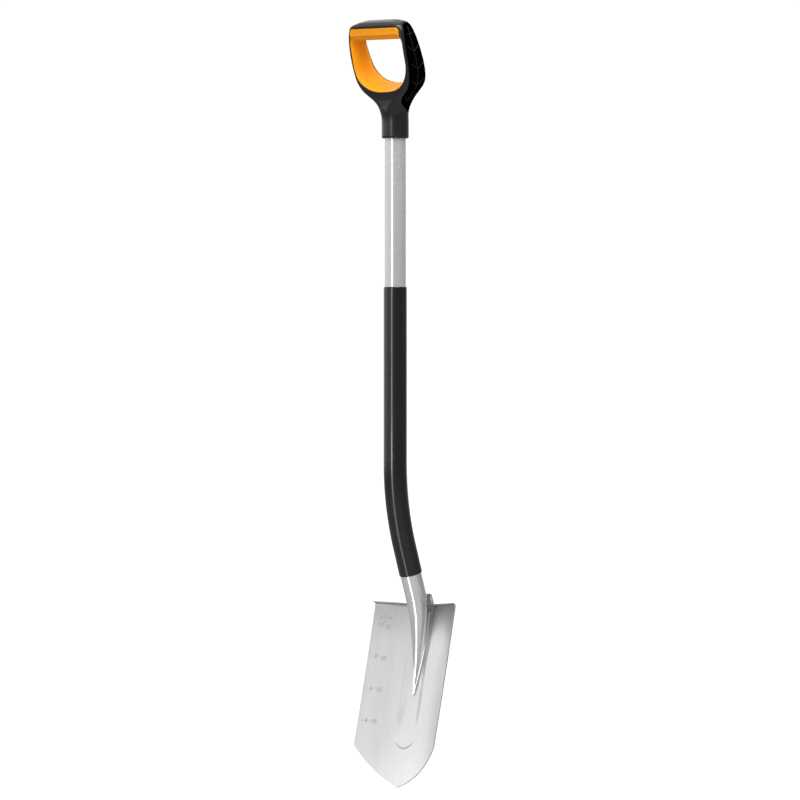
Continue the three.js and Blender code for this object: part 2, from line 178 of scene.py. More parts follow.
def thickened(bm, offset):
    """Extrudes a flat shape into a closed solid."""
    made = bmesh.ops.extrude_face_region(bm, geom=bm.faces[:])["geom"]
    far = [v for v in made if isinstance(v, bmesh.types.BMVert)]
    bmesh.ops.translate(bm, verts=far, vec=offset)
    bmesh.ops.recalc_face_normals(bm, faces=bm.faces)
    return bm


def moulded(bm, voxel, rounds):
    """Turns a carved shape into an even skin of quads with softly rounded edges."""
    helper = loose_object("moulded_body", bm)
    remesh = helper.modifiers.new("Even skin", "REMESH")
    remesh.mode = "VOXEL"
    remesh.voxel_size = voxel
    skin = with_modifiers(helper)
    for _ in range(rounds):
        bmesh.ops.smooth_vert(
            skin, verts=skin.verts, factor=0.5, use_axis_x=True, use_axis_y=True, use_axis_z=True,
        )
    return skin


# ---- the shaft's centre line ----

SHAFT_TOP, BEND_START, NECK_END = -100.5, -655.0, -862.0
BEND_RADIUS, NECK_RADIUS, TOE_BEND_RADIUS = 420.0, 130.0, 540.0
BEND_TURN, TOE_TURN = math.radians(18), math.radians(12)
TUBE_RADIUS, TOE_RADIUS = 16.5, 2.2
BEND_DROP = BEND_RADIUS * math.sin(BEND_TURN)
STRETCHES = (
    (SHAFT_TOP - BEND_START, 0.0),
    (BEND_RADIUS * BEND_TURN, BEND_TURN),
    ((BEND_START - BEND_DROP - NECK_END) / math.cos(BEND_TURN), 0.0),
    (NECK_RADIUS * BEND_TURN, -BEND_TURN),
    (TOE_BEND_RADIUS * TOE_TURN, -TOE_TURN),
)
SHAFT_LENGTH = sum(length for length, _ in STRETCHES)
TAPER_SHARE = 0.55  # of the bend above the toe that is already tapered
TAPER_START = SHAFT_LENGTH - STRETCHES[4][0] - STRETCHES[3][0] * TAPER_SHARE


def shaft_at(distance):
    """Where the shaft's centre is, and its lean, at a distance along it from the top."""
    y, z, angle, left = 0.0, SHAFT_TOP, 0.0, distance
    for length, turn in STRETCHES:
        run = min(left, length)
        turned = turn * run / length
        chord = run if turned == 0 else run * math.sin(turned / 2) / (turned / 2)
        y += chord * math.sin(angle + turned / 2)
        z -= chord * math.cos(angle + turned / 2)
        angle += turned
        left -= run
        if left <= 0:
            break
    return y, z, angle


def shaft_radius(distance):
    amount = np.clip((distance - TAPER_START) / (SHAFT_LENGTH - TAPER_START), 0, 1)
    return blend(TUBE_RADIUS, TOE_RADIUS, amount)


def turned_along_shaft(profile, around=96):
    """A shape turned from a profile of radius and distance, bent along the shaft."""
    profile = np.array(profile, float)
    centres = np.array([shaft_at(at) for at in profile[:, 1]])
    rows = len(profile) - 1

    def place(u, v):
        row = np.rint(v * rows).astype(int)
        angle = u * 2 * math.pi
        radius = profile[row, 0]
        y, z, lean = centres[row].T
        aside = radius * np.cos(angle)
        return np.column_stack((
            radius * np.sin(angle), y + aside * np.cos(lean), z + aside * np.sin(lean),
        ))
    return grid(around, rows, place, weld=1e-3)


def tube_along(points, reaches, sideways, upward, around):
    """A tube through points, with its own radius and its own two directions at each."""
    last = len(points) - 1

    def place(u, v):
        row = np.rint(v * last).astype(int)
        angle = u[:, None] * 2 * math.pi
        aside = np.cos(angle) * sideways[row] + np.sin(angle) * upward[row]
        return points[row] + reaches[row][:, None] * aside
    return grid(around, last, place)


def rounded_end(radius, at, reach, steps=6):
    """Profile points of a rounded outer edge; reach is the rounding, signed along the shaft."""
    turns = [math.pi / 2 * k / steps for k in range(steps + 1)]
    size = abs(reach)
    return [(radius - size * (1 - math.sin(t)), at + reach * (1 - math.cos(t))) for t in turns]


# ---- the blade's surface ----

BLADE_HALF, BLADE_THICK, TREAD_LEVEL = 87.0, 2.0, -880.4
BLADE_CORNER, BLADE_TIP, TIP_ARC, CROSS_RADIUS = -1094.0, -1158.0, 171.0, 170.0
LEAN_TOP_Y, LEAN_DROP, LEAN_CURVE, LEAN_TOP_Z = 67.4, 58.0, 5.6, -873.0
CHANNEL_HALF, CHANNEL_TOP, CHANNEL_LOW, CHANNEL_END, CHANNEL_ROUND = 20.6, 5.0, 3.0, -1099.0, 11.0
# Half widths of the channel's floor and of its outer edge, at its top and at its end.
CHANNEL_FLAT, CHANNEL_EDGE = (6.0, 14.0), (26.0, 24.0)
CHANNEL_RAISED, CHANNEL_RISE = 1.0, (0.72, 0.95)
CHANNEL_STEP = (-0.5, 3.0)
TREAD_BEND, TREAD_LIP, TREAD_RISE, TREAD_INNER, TONGUE_HALF = 3.5, 2.4, 3.5, 20.0, 8.0
TONGUE_RADIUS, TONGUE_TURN, TONGUE_LENGTH = 42.0, math.radians(30), 22.0


def cross_sag(x):
    return CROSS_RADIUS - np.sqrt(CROSS_RADIUS ** 2 - x * x)


def channel_depth(x, z):
    low = (LEAN_TOP_Z - z) / (LEAN_TOP_Z - CHANNEL_END)
    recess = blend(CHANNEL_TOP, CHANNEL_LOW, np.clip(low, 0, 1))
    depth = blend(recess, -CHANNEL_RAISED, ease(*CHANNEL_RISE, low))
    side = 1 - ease(blend(*CHANNEL_FLAT, low), blend(*CHANNEL_EDGE, low), np.abs(x))
    floor = CHANNEL_END + CHANNEL_ROUND * (x / CHANNEL_HALF) ** 2
    return depth * side * ease(floor + CHANNEL_STEP[0], floor + CHANNEL_STEP[1], z)


def blade_front(x, z):
    low = (LEAN_TOP_Z - z) / (LEAN_TOP_Z - BLADE_TIP)
    lean = LEAN_TOP_Y - LEAN_DROP * low - LEAN_CURVE * low * low
    return lean - cross_sag(x) + channel_depth(x, z)


def front_at(x, z):
    """The blade's front at one spot."""
    return float(blade_front(np.array(x), np.array(z)))


def tip_line(x):
    rise = BLADE_CORNER - BLADE_TIP
    chord = math.hypot(rise, BLADE_HALF)
    turn = math.atan2(rise, BLADE_HALF) + math.acos(chord / 2 / TIP_ARC)
    centre_x, centre_z = TIP_ARC * math.cos(turn), BLADE_TIP + TIP_ARC * math.sin(turn)
    return centre_z - np.sqrt(TIP_ARC ** 2 - (np.abs(x) - centre_x) ** 2)


def fold_start(x):
    outward = np.maximum(0, np.abs(x) - TREAD_INNER) / (BLADE_HALF - TREAD_INNER)
    return TREAD_LEVEL + TREAD_RISE * outward


def folded(x, height):
    """The sheet above its bend line: a tread on each side, and a tongue behind the tube."""
    z = fold_start(x)
    wing = ease(TONGUE_HALF, TREAD_INNER, np.abs(x))
    lean = np.arctan(blade_front(x, z) - blade_front(x, z - 1))
    turn = blend(TONGUE_TURN, lean + math.pi / 2, wing)
    radius = blend(TONGUE_RADIUS, TREAD_BEND, np.sqrt(wing))
    tall = np.minimum(radius * turn, TONGUE_LENGTH)
    length = blend(tall, radius * turn + TREAD_LIP * wing, wing)
    run = length * height
    bent = np.minimum(run / radius, turn)
    rest = run - bent * radius
    up = radius * np.sin(bent) + rest * np.cos(bent)
    ahead = radius * (1 - np.cos(bent)) + rest * np.sin(bent)
    y = blade_front(x, z) + up * np.sin(lean) - ahead * np.cos(lean)
    return np.column_stack((x, y, z + up * np.cos(lean) + ahead * np.sin(lean)))


def blade_shape(columns=170, fold_rows=16, rows=210):
    fold_share = fold_rows / (fold_rows + rows)

    def place(u, v):
        x = (u * 2 - 1) * BLADE_HALF
        down = (1 - v - fold_share) / (1 - fold_share)
        height = np.clip((fold_share - (1 - v)) / fold_share, 0, 1)
        top = fold_start(x)
        z = blend(top, tip_line(x), np.clip(down, 0, 1))
        sheet = np.column_stack((x, blade_front(x, z), z))
        return np.where((down < 0)[:, None], folded(x, height), sheet)
    return grid(columns, fold_rows + rows, place, weld=0)


# ---- the grip's body ----

# Sections from the crossbar down to the collar: height, depth centre, half width, half depth,
# corner radius and tilt in degrees.
STATIONS = np.array((
    (29.7, -37.8, 18, 6, 5, 15), (29.3, -37.7, 30, 9.5, 7, 15), (28.1, -37.6, 40, 12, 8, 15),
    (25.8, -37.2, 50, 14.2, 9, 15), (22, -35.2, 55.7, 15.2, 9, 15), (14, -32.2, 59.4, 15.8, 8, 15),
    (0, -27.8, 61.8, 17, 7, 15), (-17, -22.3, 63, 18.5, 7, 15), (-36, -15.9, 62, 20.4, 7, 15),
    (-50, -11.4, 59.8, 21.8, 7, 15), (-60, -8.3, 57, 22.6, 7, 15), (-68, -5.4, 54, 22.5, 8, 14.6),
    (-75, -4, 48.8, 22.3, 9, 14), (-82, -2.8, 41, 22, 11, 12.6), (-88, -2, 34, 21.8, 13, 11),
    (-94, -1.8, 28.8, 21.6, 15, 8.5), (-101, -1.7, 25, 21.3, 18, 5), (-108, -1.8, 22.8, 21.2, 20, 2),
    (-114, -1.2, 21.6, 21.2, 21, 0), (-120, -0.4, 21.2, 21.1, 21, 0), (-126, 0, 21.1, 21.1, 21.1, 0),
    (-149, 0, 21.1, 21.1, 21.1, 0), (-151.1, 0, 20.7, 20.7, 20.7, 0), (-152, 0, 19.8, 19.8, 19.8, 0),
))
COLLAR_RADIUS, EVEN_BELOW = 21.1, -132.0
GRIP_TILT, GRIP_AXIS_Y = math.radians(15), -25.0
HOLE_TOP, HOLE_SIDE, HOLE_HALF, HOLE_DEEP, HOLE_FULL = 2.6, -28.0, 54.0, 46.0, 2.5
LINING_THICK, LINING_FLARE, LINING_DROP, HOLE_CORNER = 2.8, 0.075, 0.12, 8.0
MOUTH_FLARE, MOUTH_START, MOUTH_DEPTH, MOUTH_CURVE, BACK_FLARE, LIP = 1.2, 4.0, 14.0, 1.5, 1.0, 1.7
BAR_ROUND, BAR_FROM, BAR_BLEND = 8.0, 9.0, 4
BAND_TOP, BAND_BACK_TOP, BAND_LOW, BAND_UNDER = 17.0, 15.0, -8.0, 2.0
BAND_HALF, BAND_ROUND, BAND_LONG = 53.0, 6.0, 30.0
BAND_AHEAD, BAND_FRONT, BAND_STEP, BAND_BACK = -70.0, -30.0, -22.0, 20.0
PANEL_THICK, PANEL_CLEAR, PANEL_INNER, PANEL_OUTER, SEAM = 1.6, 0.6, 19.0, 80.0, 0.35
PROUD = 2.0  # how far a cutter stands out of the grip's faces


def smooth_stations(step=0.75, window=7):
    """The stations run through at an even step and eased, so that no section shows as a ring."""
    heights = np.arange(STATIONS[0, 0], STATIONS[-1, 0], -step)
    rising = STATIONS[::-1]
    columns = [np.interp(heights, rising[:, 0], rising[:, k]) for k in range(1, 6)]
    kernel = np.ones(window) / window
    eased = [np.convolve(np.pad(c, window // 2, mode="edge"), kernel, "valid") for c in columns]
    keep = (heights < EVEN_BELOW) | (heights > STATIONS[2, 0])
    return np.column_stack([heights] + [np.where(keep, c, e) for c, e in zip(columns, eased)])


def section_ring(flat_steps=12, corner_steps=10):
    """Once round a rounded rectangle: the corner behind each point, its direction and its slide."""
    right_angle = math.pi / 2
    ring = []
    for quarter in range(4):
        turns = [(quarter + k / corner_steps) * right_angle for k in range(corner_steps)]
        ring += [(quarter, turn, 0.0) for turn in turns]
        ring += [(quarter, (quarter + 1) * right_angle, k / flat_steps) for k in range(flat_steps)]
    corners, turns, slides = np.array(ring + [(0, 2 * math.pi, 0.0)]).T
    return corners.astype(int), turns, slides


CORNER_X, CORNER_Y = np.array((1, -1, -1, 1)), np.array((1, 1, -1, -1))


def grip_body(aside=0.0, ahead=None):
    """The whole outside of the grip, or one drawn in from its sides and its faces."""
    ahead = aside if ahead is None else ahead
    rows = smooth_stations()
    caps = [(rows[0], 0.0), (rows[0], 0.5)] + [(row, 1.0) for row in rows]
    caps += [(rows[-1], 0.5), (rows[-1], 0.0)]
    table = np.array([np.append(row, reach) for row, reach in caps])
    corners, turns, slides = section_ring()
    last_row, last_point = len(table) - 1, len(turns) - 1

    def place(u, v):
        z, y, width, depth, corner, tilt, reach = table[np.rint(v * last_row).astype(int)].T
        point = np.rint(u * last_point).astype(int)
        width, depth = width - aside, depth - ahead
        corner = np.clip(corner - min(aside, ahead), 1, np.minimum(width, depth))
        here, after = corners[point], (corners[point] + 1) % 4
        side_x = blend(CORNER_X[here], CORNER_X[after], slides[point])
        side_y = blend(CORNER_Y[here], CORNER_Y[after], slides[point])
        across = reach * (side_x * (width - corner) + corner * np.cos(turns[point]))
        deep = reach * (side_y * (depth - corner) + corner * np.sin(turns[point]))
        lean = np.radians(tilt)
        return np.column_stack((across, y + deep * np.cos(lean), z + deep * np.sin(lean)))
    return grid(last_point, last_row, place)


def hole_outline(grow, corner_steps=9, side_steps=8, bar_steps=24, bottom_steps=72):
    """Once round the D of the hand opening, from its upper left corner."""
    half, top = HOLE_HALF + grow, HOLE_TOP + grow
    corner = HOLE_CORNER + grow
    arc = np.linspace(0, math.pi / 2, corner_steps)
    right = [
        (half - corner + corner * math.sin(t), top - corner + corner * math.cos(t)) for t in arc
    ]
    left = [(-x, h) for x, h in reversed(right)]
    bar = [(x, top) for x in np.linspace(-half + corner, half - corner, bar_steps)[1:-1]]
    side = [(half, h) for h in np.linspace(top - corner, HOLE_SIDE, side_steps)[1:-1]]
    full = 2 / HOLE_FULL
    bottom = [
        (half * math.copysign(abs(math.cos(t)) ** full, math.cos(t)),
         HOLE_SIDE - (HOLE_DEEP + grow) * max(0, math.sin(t)) ** full)
        for t in np.linspace(0, math.pi, bottom_steps)
    ]
    back_up = [(-x, h) for x, h in reversed(side)]
    return np.array(left + bar + right + side + bottom + back_up + left[:1])


def mouth(deep):
    """How much wider the opening's soft lining is towards the front and the back."""
    ahead, behind = (
        np.clip((way * deep - MOUTH_START) / MOUTH_DEPTH, 0, 1) ** MOUTH_CURVE for way in (-1, 1)
    )
    return MOUTH_FLARE * ahead + BACK_FLARE * behind


def bar_edge(deep):
    """How far the bar's lower front edge is rounded up, this deep in the grip."""
    along = np.clip(-deep - BAR_FROM, 0, BAR_ROUND)
    return BAR_ROUND - np.sqrt(BAR_ROUND ** 2 - along * along)


def hand_hole(grow, reach=34.0, rows=69):
    """The hand opening as a solid that runs through the grip, wider at the front."""
    outline = hole_outline(grow)
    last_point = len(outline) - 1
    deeps = np.array([-reach] * 2 + list(np.linspace(-reach, reach, rows)) + [reach] * 2)
    reaches = np.array([0, 0.5] + [1.0] * rows + [0.5, 0])
    last_row = len(deeps) - 1

    def place(u, v):
        row, point = np.rint(v * last_row).astype(int), np.rint(u * last_point).astype(int)
        deep, size = deeps[row], reaches[row]
        x, h = outline[point].T
        open_out = mouth(deep) if grow == 0 else 0
        x = x * (1 + open_out / HOLE_HALF)
        h = h + np.where(h < HOLE_SIDE, (h - HOLE_SIDE) / HOLE_DEEP, 0) * open_out
        upper = np.clip((h - HOLE_SIDE) / (HOLE_TOP - HOLE_SIDE), 0, 1)
        h = h + upper ** BAR_BLEND * bar_edge(deep)
        h = blend(HOLE_SIDE, h, size)
        below = np.minimum(h - HOLE_SIDE, 0)
        x = x * size * (1 - LINING_FLARE * deep / HOLE_HALF)
        h = h - below * LINING_DROP * deep / HOLE_DEEP
        y = GRIP_AXIS_Y + deep * math.cos(GRIP_TILT) - h * math.sin(GRIP_TILT)
        return np.column_stack((x, y, h * math.cos(GRIP_TILT) + deep * math.sin(GRIP_TILT)))
    return grid(last_point, last_row, place)


def side_block(outline, from_x, to_x):
    """A solid swept along X from a closed outline in the Y-Z plane."""
    bm = bmesh.new()
    bm.faces.new([bm.verts.new((from_x, y, z)) for y, z in outline])
    return thickened(bm, (to_x - from_x, 0, 0))


def band_block(grow):
    """Where the soft lining wraps the crossbar's lower half."""
    top, back_top = BAND_TOP + grow, BAND_BACK_TOP + grow
    under = HOLE_TOP + LINING_THICK + BAND_UNDER + grow
    outline = (
        (BAND_AHEAD, top), (BAND_FRONT, top), (BAND_FRONT, under), (BAND_STEP, under),
        (BAND_STEP, back_top), (BAND_BACK, back_top), (BAND_BACK, BAND_LOW), (BAND_AHEAD, BAND_LOW),
    )
    block = side_block(outline, -BAND_HALF - grow, BAND_HALF + grow)
    corners = [
        e for e in block.edges
        if abs(e.verts[0].co.y - e.verts[1].co.y) > BAND_LONG
        and min(v.co.z for v in e.verts) > under
    ]
    bmesh.ops.bevel(block, geom=corners, offset=BAND_ROUND + grow, segments=8, profile=0.5,
                    affect="EDGES", material=-1)
    return block


def quadratic(start, bend, end, steps=10):
    amounts = np.linspace(0, 1, steps, endpoint=False)[:, None]
    a, b, c = (np.array(p, float) for p in (start, bend, end))
    return list((1 - amounts) ** 2 * a + 2 * amounts * (1 - amounts) * b + amounts ** 2 * c)


# The leaf-shaped side panel seen from the side: ends and bends of its curves (Y, Z), and which
# way each one moves when the leaf grows.
LEAF = (
    ((-33, 24.5), (-39.5, 22)), ((-39.6, 12), (-40.8, -7)), ((-36.2, -23), (-30, -46)),
    ((-24.5, -67), (-22, -77)), ((-20, -85), (-16, -97)), ((-6, -102), (3, -107)),
    ((9.5, -113), (15.5, -106)), ((17, -94), (18.6, -76)), ((15.5, -61), (11, -46)),
    ((3.5, -30), (-7, -6)), ((-18, 19), (-20.5, 25.5)), ((-26, 26), (-30, 25.6)),
)
LEAF_MIDDLE = (-10, -45)


def panel_outline(grow):
    """The closed outline of the side panel, larger by a distance all round."""
    points = []
    for (start, bend), (end, _) in zip(LEAF, LEAF[1:] + LEAF[:1]):
        points += quadratic(start, bend, end)
    points = np.array(points)
    ahead, behind = np.roll(points, -1, axis=0), np.roll(points, 1, axis=0)
    along = ahead - behind
    outward = np.column_stack((along[:, 1], -along[:, 0]))
    outward /= np.linalg.norm(outward, axis=1)[:, None]
    turned = np.sign(np.sum(outward * (points - LEAF_MIDDLE), axis=1).mean())
    return list(points + outward * turned * grow)


def side_panel(side, grow):
    outer = grip_body(-PROUD, -PROUD) if grow > 0 else grip_body()
    inner = grip_body(PANEL_THICK + grow, -PANEL_CLEAR)
    block = side_block(panel_outline(grow), side * (PANEL_INNER - grow), side * PANEL_OUTER)
    return carved(block, [(KEEP, outer), (CUT, inner)])


# ---- materials ----

STREAK_SCALE, COAT_ROUGHNESS = 0.06, 0.1
# The part of a pattern over which a finish's tone and its gloss change.
TONE_SPAN, GLOSS_SPAN = (0.35, 0.65), (0.3, 0.7)
MIX_A, MIX_B, MIX_RESULT = 6, 7, 2  # a Mix node's colour sockets


def set_inputs(node, values):
    for label, value in dict(values).items():
        node.inputs[label].default_value = value


def add_node(tree, kind, values=(), **settings):
    """A shader node with its settings, and constants on some of its inputs."""
    node = tree.nodes.new("ShaderNode" + kind)
    for name, value in settings.items():
        setattr(node, name, value)
    set_inputs(node, values)
    return node


def wire(tree, *pairs):
    for source, target in pairs:
        tree.links.new(source, target)


def level_ramp(tree, stops):
    """A ramp through stops of position and grey level."""
    node = add_node(tree, "ValToRGB")
    elements = node.color_ramp.elements
    for position, _ in stops[1:-1]:
        elements.new(position)
    for element, (position, level) in zip(elements, stops):
        element.position = position
        element.color = (level, level, level, 1)
    return node


def pattern_group(name, inputs, outputs):
    """An empty node group with numbers going in and coming out."""
    group = bpy.data.node_groups.new(name, "ShaderNodeTree")
    kind = "NodeSocketFloat"
    for label, value in inputs:
        socket = group.interface.new_socket(name=label, in_out="INPUT", socket_type=kind)
        socket.default_value = value
    for label in outputs:
        group.interface.new_socket(name=label, in_out="OUTPUT", socket_type=kind)
    return group, group.nodes.new("NodeGroupInput"), group.nodes.new("NodeGroupOutput")


def grain_group():
    """Fine moulded or sprayed grain: a height for bump and a mask for tone."""
    found = bpy.data.node_groups.get("Fine grain")
    if found:
        return found
    group, start, end = pattern_group(
        "Fine grain", (("Scale", 900.0), ("Blotch", 40.0)), ("Height", "Patches"),
    )
    place = add_node(group, "TexCoord")
    for label, size, detail in (("Height", "Scale", 3.0), ("Patches", "Blotch", 4.0)):
        noise = add_node(group, "TexNoise", {"Detail": detail})
        wire(
            group, (place.outputs["Object"], noise.inputs["Vector"]),
            (start.outputs[size], noise.inputs["Scale"]), (noise.outputs["Fac"], end.inputs[label]),
        )
    return group


def brushed_group():
    """Long fine lines along Z, as rolling and brushing leave on sheet steel."""
    found = bpy.data.node_groups.get("Brushed lines")
    if found:
        return found
    group, start, end = pattern_group(
        "Brushed lines", (("Across", 1400.0), ("Along", 14.0)), ("Height", "Streaks"),
    )
    place, stretch = add_node(group, "TexCoord"), add_node(group, "CombineXYZ")
    scaled = add_node(group, "VectorMath", operation="MULTIPLY")
    coarser = add_node(group, "VectorMath", {"Scale": STREAK_SCALE}, operation="SCALE")
    for axis, size in (("X", "Across"), ("Y", "Across"), ("Z", "Along")):
        wire(group, (start.outputs[size], stretch.inputs[axis]))
    wire(
        group, (place.outputs["Object"], scaled.inputs[0]),
        (stretch.outputs["Vector"], scaled.inputs[1]),
        (scaled.outputs["Vector"], coarser.inputs[0]),
    )
    for label, source, detail in (("Height", scaled, 2.0), ("Streaks", coarser, 5.0)):
        noise = add_node(group, "TexNoise", {"Scale": 1.0, "Detail": detail})
        wire(
            group, (source.outputs["Vector"], noise.inputs["Vector"]),
            (noise.outputs["Fac"], end.inputs[label]),
        )
    return group


def grain(scale, blotch):
    return {"Scale": scale, "Blotch": blotch}


def finish(name, colours, roughness, metallic=0.0, bump=0.0, group=None, pattern=(), coat=0.0,
           specular=0.5):
    """A Principled finish whose colour and roughness vary with a group's pattern."""
    material = bpy.data.materials.new(name)
    material.use_nodes = True
    tree = material.node_tree
    shader = tree.nodes["Principled BSDF"]
    set_inputs(shader, {
        "Metallic": metallic, "Coat Weight": coat, "Coat Roughness": COAT_ROUGHNESS,
        "Specular IOR Level": specular,
    })
    marks = add_node(tree, "Group", pattern, node_tree=group or grain_group())
    height, mask = marks.outputs[0], marks.outputs[1]
    tone = add_node(tree, "ValToRGB")
    for element, position, colour in zip(tone.color_ramp.elements, TONE_SPAN, colours):
        element.position = position
        element.color = (*colour, 1)
    spans = zip(("From Min", "From Max", "To Min", "To Max"), GLOSS_SPAN + roughness)
    gloss = add_node(tree, "MapRange", spans)
    relief = add_node(tree, "Bump", {"Distance": MM, "Strength": bump})
    wire(
        tree, (mask, tone.inputs["Fac"]), (tone.outputs["Color"], shader.inputs["Base Color"]),
        (mask, gloss.inputs["Value"]), (gloss.outputs["Result"], shader.inputs["Roughness"]),
        (height, relief.inputs["Height"]), (relief.outputs["Normal"], shader.inputs["Normal"]),
    )
    return material


def material(name):
    """One of the shovel's finishes, made the first time that it is asked for."""
    return bpy.data.materials.get(name) or FINISHES[name](name)


def with_painted_shade(material, stops):
    """Paints shade into a finish by height: each stop is a level in metres and how much colour it
    keeps.
    """
    tree = material.node_tree
    colour = tree.nodes["Principled BSDF"].inputs["Base Color"]
    source = colour.links[0].from_socket
    low, high = stops[0][0], stops[-1][0]
    place, split = add_node(tree, "TexCoord"), add_node(tree, "SeparateXYZ")
    level = add_node(tree, "MapRange", {"From Min": low, "From Max": high})
    # The ramp is painted shade: how much of the finish's colour stays at each height.
    keep = level_ramp(tree, [((at - low) / (high - low), value) for at, value in stops])
    keep.color_ramp.interpolation = "EASE"
    both = add_node(tree, "Mix", {"Factor": 1.0}, data_type="RGBA", blend_type="MULTIPLY")
    wire(
        tree, (place.outputs["Object"], split.inputs["Vector"]),
        (split.outputs["Z"], level.inputs["Value"]), (level.outputs["Result"], keep.inputs["Fac"]),
        (source, both.inputs[MIX_A]), (keep.outputs["Color"], both.inputs[MIX_B]),
        (both.outputs[MIX_RESULT], colour),
    )
    return material


def near(colour, spread):
    return tuple(c * (1 - spread) for c in colour), tuple(min(1, c * (1 + spread)) for c in colour)


def brushed(name, colour, roughness, bump):
    """Steel with fine lines along Z under a thin clear lacquer."""
    return finish(
        name, near(colour, 0.03), roughness, metallic=0.9, bump=bump, group=brushed_group(),
        pattern={"Across": 1300.0, "Along": 12.0}, coat=0.25,
    )


# How much of the steel's colour the depth marks keep, and the blade's painted shade from its tip to
# its treads, darkest just under the treads and tube.
MARK_TONE = 0.56
BLADE_PAINTED_SHADE = ((-1.161, 0.9), (-1.06, 0.79), (-0.945, 0.75), (-0.885, 0.58))

FINISHES = {
    # The blade's steel carries painted shade by height, darkest just under the treads and tube.
    "Lacquered steel with painted shade": lambda name: with_painted_shade(
        brushed(name, settings().steel, (0.3, 0.38), bump=0.05), BLADE_PAINTED_SHADE,
    ),
    "Neck steel": lambda name: brushed(name, settings().neck, (0.16, 0.22), bump=0.04),
    "Stamped steel": lambda name: finish(
        name, near([c * MARK_TONE for c in settings().steel], 0.03), (0.4, 0.5), metallic=0.9,
        bump=0.05,
        pattern=grain(1800, 60),
    ),
    "Rib rubber": lambda name: finish(
        name, ((0.01, 0.01, 0.01), (0.014, 0.014, 0.014)), (0.5, 0.6), bump=0.05,
        pattern=grain(1600, 60), specular=0.2,
    ),
    "Silver paint": lambda name: finish(
        name, near(settings().paint, 0.02), (0.2, 0.25), metallic=0.5, bump=0.01,
        pattern=grain(2600, 30), coat=0.3,
    ),
    "Weld metal": lambda name: finish(
        name, ((0.8, 0.8, 0.8), (0.9, 0.9, 0.9)), (0.16, 0.24), metallic=0.95, bump=0.03,
        pattern=grain(700, 160),
    ),
    "Sleeve plastic": lambda name: finish(
        name, near(settings().sleeve, 0.12), (0.16, 0.2), bump=0.03,
        pattern=grain(1800, 26),
    ),
    "Shell plastic": lambda name: finish(
        name, near(settings().shell, 0.12), (0.22, 0.28), bump=0.05,
        pattern=grain(1500, 45),
    ),
    "Soft grip": lambda name: finish(
        name, near(settings().grip, 0.04), (0.5, 0.6), bump=0.1,
        pattern=grain(1400, 50), specular=0.25,
    ),
    "Panel rubber": lambda name: finish(
        name, near(settings().panel, 0.2), (0.7, 0.8), bump=0.1,
        pattern=grain(1600, 60), specular=0.0,
    ),
    "Screw zinc": lambda name: finish(
        name, ((0.5, 0.5, 0.51), (0.66, 0.66, 0.66)), (0.25, 0.4), metallic=1.0, bump=0.05,
        pattern=grain(900, 300),
    ),
}


# ---- settings that a user would change ----

COLOUR = {"subtype": "COLOR", "min": 0, "max": 1}


class ShovelSettings(bpy.types.PropertyGroup):
    """Sizes in millimetres and colours of the shovel's detail."""
    steel: FloatVectorProperty(
        name="Steel", description="Colour of the blade and neck",
        default=(0.82, 0.825, 0.83), **COLOUR)
    paint: FloatVectorProperty(
        name="Tube paint", description="Colour of the painted tube",
        default=(0.55, 0.55, 0.555), **COLOUR)
    neck: FloatVectorProperty(
        name="Neck steel", description="Colour of the tube where it meets the blade",
        default=(0.78, 0.785, 0.79), **COLOUR)
    sleeve: FloatVectorProperty(
        name="Sleeve", description="Colour of the tube's sleeve",
        default=(0.006, 0.006, 0.0065), **COLOUR)
    shell: FloatVectorProperty(
        name="Shell", description="Colour of the grip's shell",
        default=(0.006, 0.006, 0.0062), **COLOUR)
    grip: FloatVectorProperty(
        name="Soft grip", description="Colour of the lining inside the grip",
        default=(1.0, 0.36, 0.006), **COLOUR)
    panel: FloatVectorProperty(
        name="Side panels", description="Colour of the ribbed side panels",
        default=(0.0004, 0.0004, 0.0004), **COLOUR)
    rib_radius: FloatProperty(
        name="Rib radius", description="Half width of the panels' ribs, in millimetres",
        default=0.45, min=0.1, max=1.0)
    mark_height: FloatProperty(
        name="Mark relief", description="How far the depth marks stand proud, in millimetres",
        default=0.35, min=0.1, max=1.0)
    azimuth: FloatProperty(
        name="View azimuth", description="Direction of the main view, in degrees", default=45.0)
    view_height: FloatProperty(
        name="View height", description="Height of the picture at the shovel, in metres",
        default=1.24, min=0.5, max=4.0, unit="LENGTH")


def settings():
    return bpy.context.scene.shovel


# ---- one operator for each piece ----

class SHOVEL_OT_blade(bpy.types.Operator):
    """Press the blade's sheet with its channel, treads and tongue"""
    bl_idname = "shovel.blade"
    bl_label = "Blade"

    def execute(self, context):
        piece = add_piece(
            "blade_sheet", blade_shape(), material("Lacquered steel with painted shade"), ["blade"], 60,
        )
        wall = piece.modifiers.new("Sheet thickness", "SOLIDIFY")
        wall.thickness = BLADE_THICK * MM
        wall.offset = -1
        wall.use_even_offset = True
        edge = piece.modifiers.new("Dressed edge", "BEVEL")
        edge.width = 0.4 * MM
        edge.segments = 2
        edge.limit_method = "ANGLE"
        edge.angle_limit = math.radians(60)
        return {"FINISHED"}


MARK_ROWS = (("4", 101.6, "10", 100.0), ("6", 152.4, "15", 150.0), ("8", 203.2, "20", 200.0),
             ("10", 254.0, "25", 250.0))
MARK_COLUMNS = (-75.0, -63.0)
MARK_SIZE, MARK_BOLD, MARK_ROOT, MARK_STEP = 9.5, 0.12, 0.5, 1.5
# Short bars beside the single figures: width, thickness, height up the figure and both places.
TICK_THICK, TICK_UP, TICKS = 0.8, 3.0, ((2.6, -5.6), (2.0, 4.6))
HEAD_UP, HEAD_SIZE, DIVIDER, DIVIDER_SHIFT = 12.0, 0.7, (0.7, 16.0), (-0.5, 1.0)
BLADE_LEAN = math.radians(12.5)


